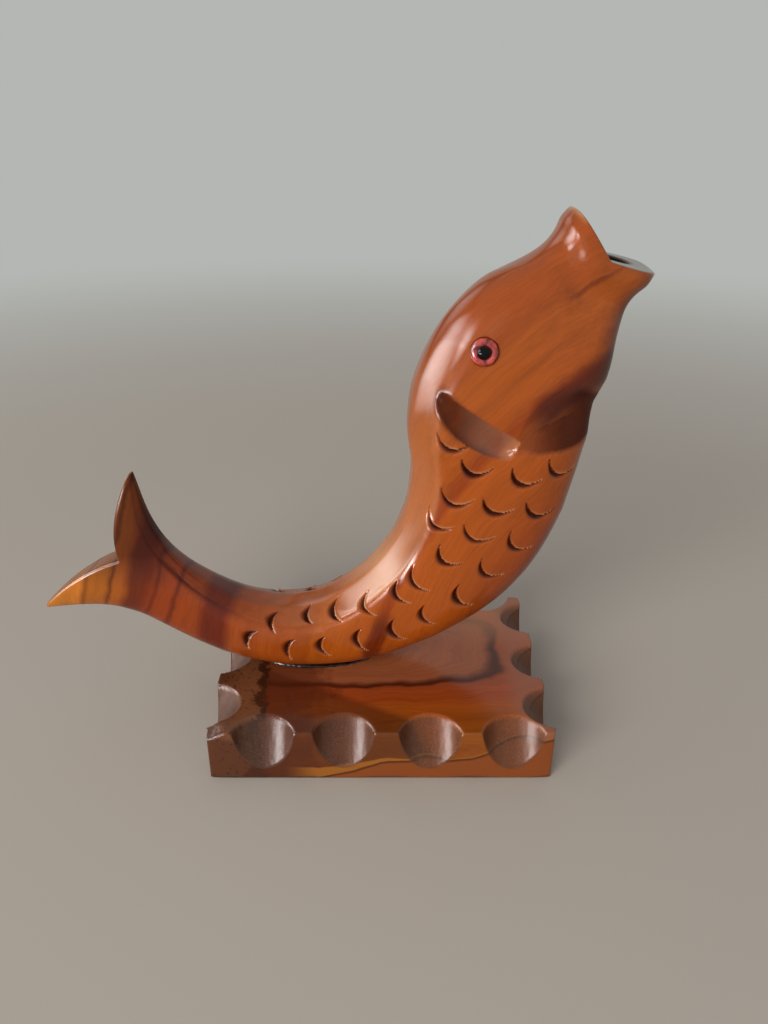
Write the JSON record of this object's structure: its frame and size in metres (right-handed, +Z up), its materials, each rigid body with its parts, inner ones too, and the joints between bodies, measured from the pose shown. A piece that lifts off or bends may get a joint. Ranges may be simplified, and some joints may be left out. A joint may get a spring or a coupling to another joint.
{
  "type": "wooden fish carving",
  "caption": "Varnished wooden fish carved in a leaping curve with forked tail, gouged scales and glass bead eyes, standing on a rectangular wooden base with scalloped edges.",
  "frame": {"origin": "middle of the base's underside", "axes": "+Z up, +X along the base's long side towards the fish's head, +Y towards the fish's left side"},
  "size_m": [0.1481, 0.06, 0.1288],
  "materials": {
    "base_wood": "glossy varnish",
    "fish_wood": "glossy varnish",
    "red_glass": "polished",
    "black_enamel": "gloss",
    "screw_steel": "zinc plated",
    "dark_glue": "glossy"
  },
  "bodies": {
    "root": {"base_block": "base_wood", "fish_body": "fish_wood", "right_eye_bead": "red_glass", "left_eye_bead": "red_glass", "right_eye_pin": "black_enamel", "left_eye_pin": "black_enamel", "base_screw": "screw_steel", "glue_bead": "dark_glue"}
  },
  "joints": []
}
